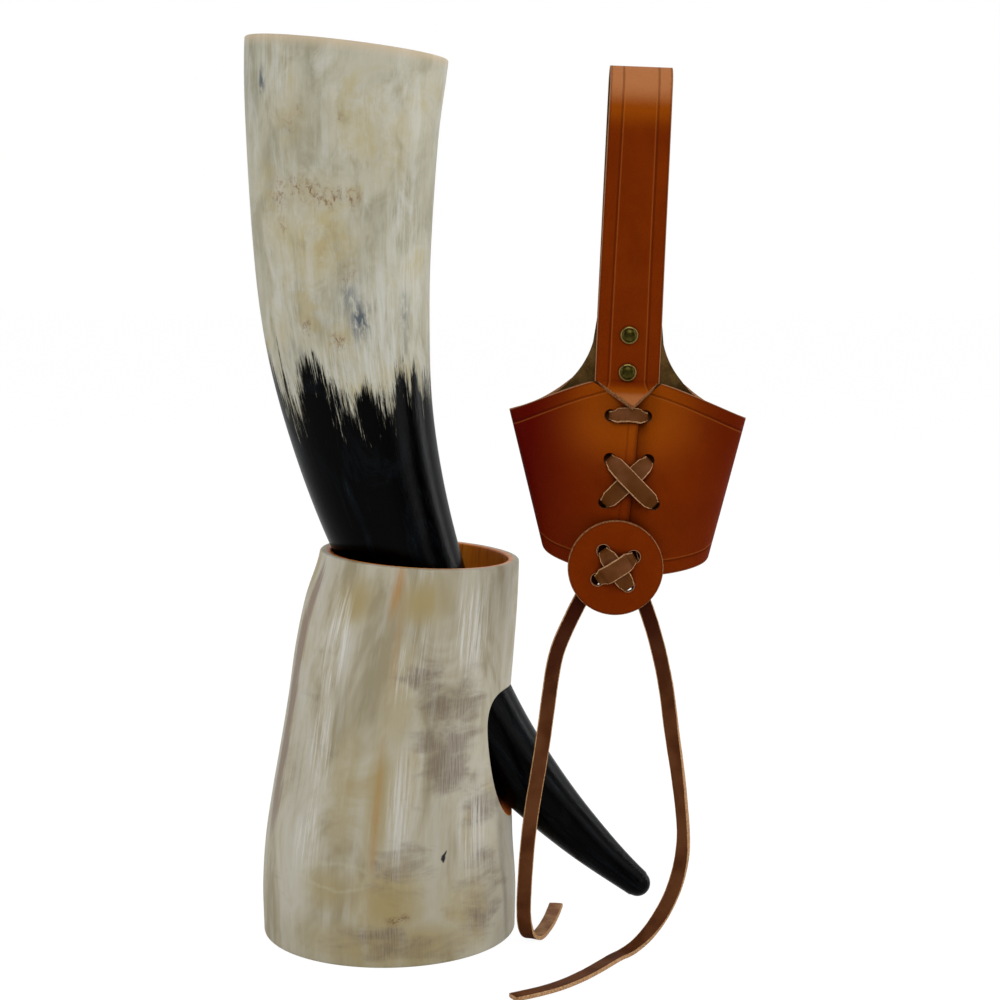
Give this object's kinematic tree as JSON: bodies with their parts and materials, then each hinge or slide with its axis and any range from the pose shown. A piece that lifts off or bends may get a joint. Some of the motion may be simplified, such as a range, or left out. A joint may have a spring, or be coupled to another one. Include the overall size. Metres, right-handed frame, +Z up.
{
  "type": "horn drinking cup",
  "caption": "Curved drinking horn resting in a sawn horn stand, tip out through its side hole, with a laced leather belt holder and round leather button beside it.",
  "frame": {"origin": "middle of the stand's foot, on the surface it stands on", "axes": "+Z up, +X from the stand's middle towards the horn's tip, -Y towards the front of the belt holder"},
  "size_m": [0.1817, 0.1293, 0.3333],
  "materials": {
    "horn": "polished cattle horn, cream at the mouth and black towards the tip",
    "stand_horn": "polished pale cattle horn with fine vertical grain",
    "leather": "smooth cognac vegetable-tanned leather",
    "lace": "flat dark brown lace with pale cut edges",
    "rivet_brass": "antiqued brass"
  },
  "bodies": {
    "stand": {"stand": "stand_horn"},
    "horn": {"horn_cup": "horn"},
    "holder": {"leather_holder": "leather", "rivet_cap_upper": "rivet_brass", "rivet_cap_lower": "rivet_brass", "rivet_post_upper": "rivet_brass", "rivet_post_lower": "rivet_brass", "lace_bar": "lace", "lace_inner_upper": "lace", "lace_cross_under": "lace", "lace_cross_over": "lace", "lace_inner_lower": "lace", "tail_left": "lace", "tail_right": "lace"},
    "button": {"button_disc": "leather", "button_lace_under": "lace", "button_lace_over": "lace"}
  },
  "joints": [
    {"name": "horn_lift", "type": "hinge", "parent": "stand", "child": "horn", "pos_m": [0.266, 0, 0.234], "axis": [0, 1, 0], "range_deg": [0, 45]},
    {"name": "holder_pull", "type": "slide", "parent": "stand", "child": "holder", "axis": [0, -1, 0], "range_m": [0, 0.15]},
    {"name": "button_slide", "type": "slide", "parent": "holder", "child": "button", "axis": [-0.0384, 0, -0.9993], "range_m": [0, 0.012]}
  ]
}
